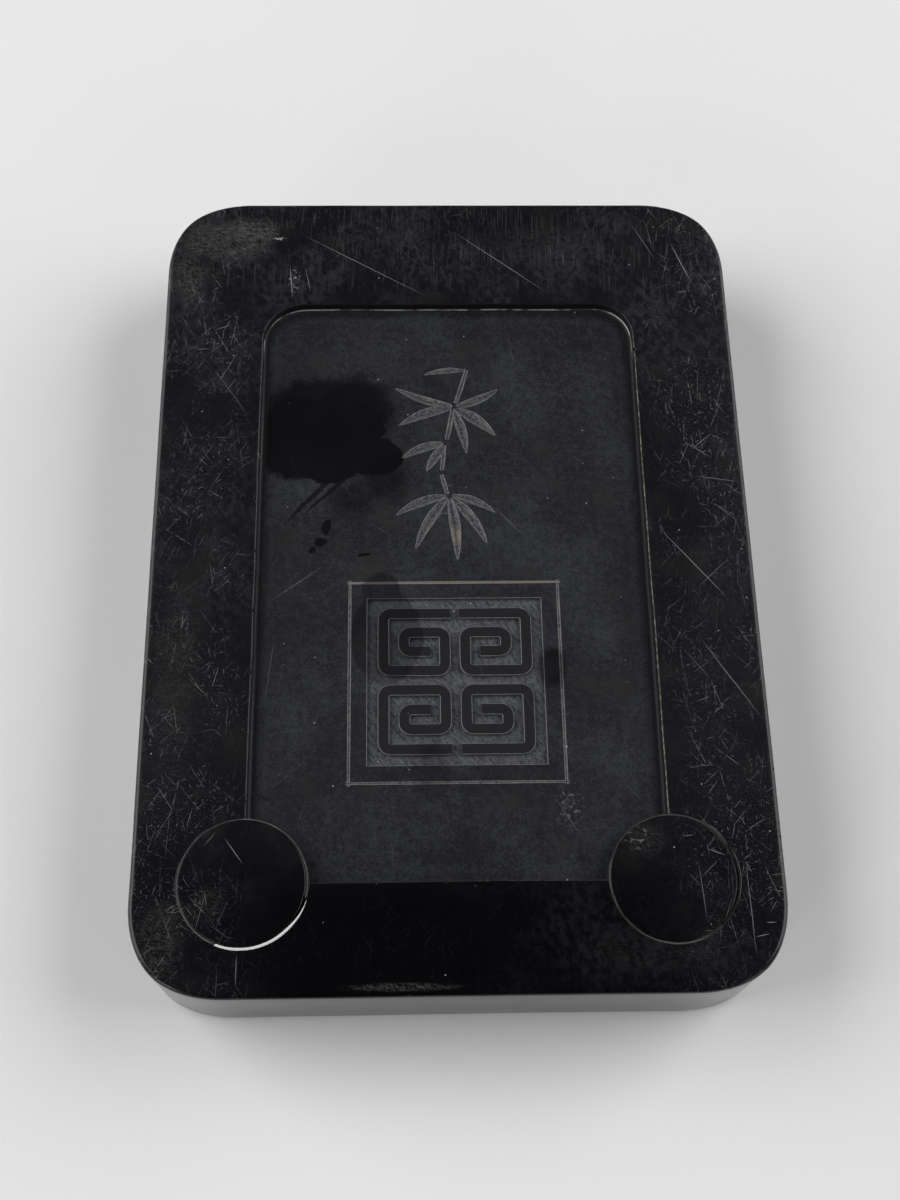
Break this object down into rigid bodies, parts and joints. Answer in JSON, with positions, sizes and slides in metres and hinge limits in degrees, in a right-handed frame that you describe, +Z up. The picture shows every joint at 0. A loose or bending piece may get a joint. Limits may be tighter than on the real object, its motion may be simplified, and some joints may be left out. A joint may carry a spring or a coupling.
{
  "type": "inkstone",
  "caption": "Rectangular slate inkstone shown carved back up: sunk panel with engraved bamboo and square fret seal, round discs let into its near corners, ink well on the face below.",
  "frame": {"origin": "middle of the plane that the stone lies on, which is the rim of its grinding face", "axes": "+Z up out of the carved back, +Y along the stone towards its ink-well end, +X to the right when the back is read from above"},
  "size_m": [0.105, 0.15, 0.02],
  "materials": {
    "slate": "honed black slate, polished rim, matte ink-stained panel",
    "disc_slate": "honed black slate, scratched",
    "bedding_cement": "ink-stained lime cement",
    "white_filler": "white lime filler"
  },
  "bodies": {
    "root": {"stone_body": "slate", "left_corner_disc": "disc_slate", "right_corner_disc": "disc_slate", "left_disc_bedding": "bedding_cement", "right_disc_bedding": "bedding_cement", "left_seam_filler": "white_filler"}
  },
  "joints": []
}
